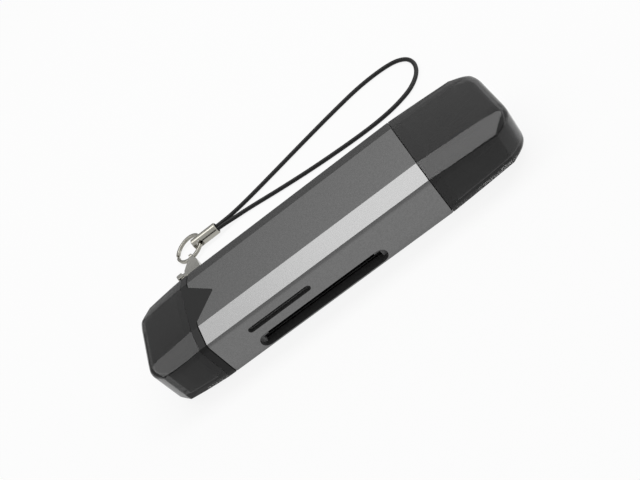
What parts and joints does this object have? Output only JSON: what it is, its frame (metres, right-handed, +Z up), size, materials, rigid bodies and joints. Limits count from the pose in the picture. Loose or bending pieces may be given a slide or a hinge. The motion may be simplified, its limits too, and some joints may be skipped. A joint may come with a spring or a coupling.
{
  "type": "usb memory card reader",
  "caption": "Slim card reader with an aluminium sleeve, SD and microSD slots, capped USB-A and USB-C plugs and a wrist strap.",
  "frame": {"origin": "on the ground under the middle of the body", "axes": "+X along the body to the USB-A end, -Y out of the card slots, +Z up"},
  "size_m": [0.074, 0.0508, 0.0109],
  "materials": {
    "anodised_grey": "bead-blasted grey anodising",
    "dark_plastic": "satin dark grey",
    "guide_plastic": "satin black",
    "board": "solder mask",
    "chip_resin": "matt resin",
    "can_steel": "bright stamped sheet",
    "ceramic": "ceramic",
    "led_lens": "clear lens",
    "socket_plastic": "black moulding",
    "contact_gold": "gold plated",
    "plug_steel": "bright nickel plated",
    "plug_blue": "blue moulding",
    "smoked_plastic": "smoked translucent",
    "nickel": "nickel plated",
    "cord_black": "woven nylon cord"
  },
  "bodies": {
    "reader": {"shell": "anodised_grey", "collar": "dark_plastic", "end_plug": "dark_plastic", "slot_guide": "guide_plastic", "circuit_board": "board", "controller_chip": "chip_resin", "regulator_chip": "chip_resin", "crystal": "can_steel", "capacitors": "ceramic", "resistors": "chip_resin", "status_led": "led_lens", "sd_socket_body": "socket_plastic", "sd_socket_cover": "can_steel", "sd_contacts": "contact_gold", "microsd_socket_body": "socket_plastic", "microsd_socket_cover": "can_steel", "microsd_contacts": "contact_gold", "usb_a_shell": "plug_steel", "usb_a_insulator": "plug_blue", "usb_a_contacts": "contact_gold", "usb_c_shell": "plug_steel", "usb_c_insulator": "socket_plastic", "usb_c_contacts": "contact_gold"},
    "cap_a": {"cap_a": "smoked_plastic"},
    "cap_c": {"cap_c": "smoked_plastic"},
    "clasp": {"clasp_body": "nickel", "clasp_pin": "nickel"},
    "gate": {"clasp_gate": "nickel"},
    "ring": {"split_ring": "nickel"},
    "strap": {"ferrule": "nickel", "cord": "cord_black"}
  },
  "joints": [
    {"name": "cap_a_pull", "type": "slide", "parent": "reader", "child": "cap_a", "axis": [1, 0, 0], "range_m": [0, 0.018]},
    {"name": "cap_c_pull", "type": "slide", "parent": "reader", "child": "cap_c", "axis": [-1, 0, 0], "range_m": [0, 0.012]},
    {"name": "clasp_swing", "type": "hinge", "parent": "reader", "child": "clasp", "pos_m": [-0.02575, 0.0119, 0.00545], "axis": [1, 0, 0], "range_deg": [0, 60]},
    {"name": "gate_open", "type": "hinge", "parent": "clasp", "child": "gate", "pos_m": [-0.02739, 0.01955, 0.00307], "axis": [0, 0.2965, 0.955], "range_deg": [0, 13], "stiffness_Nm_per_rad": 0.0002, "springref_deg": -17.19},
    {"name": "ring_swing", "type": "hinge", "parent": "clasp", "child": "ring", "pos_m": [-0.02755, 0.02665, 0.00087], "axis": [0.9933, 0.1106, -0.0343], "range_deg": [0, 30]},
    {"name": "ferrule_swing", "type": "hinge", "parent": "ring", "child": "strap", "pos_m": [-0.02468, 0.02925, 0.0013], "axis": [0, -1, 0], "range_deg": [0, 80]}
  ]
}
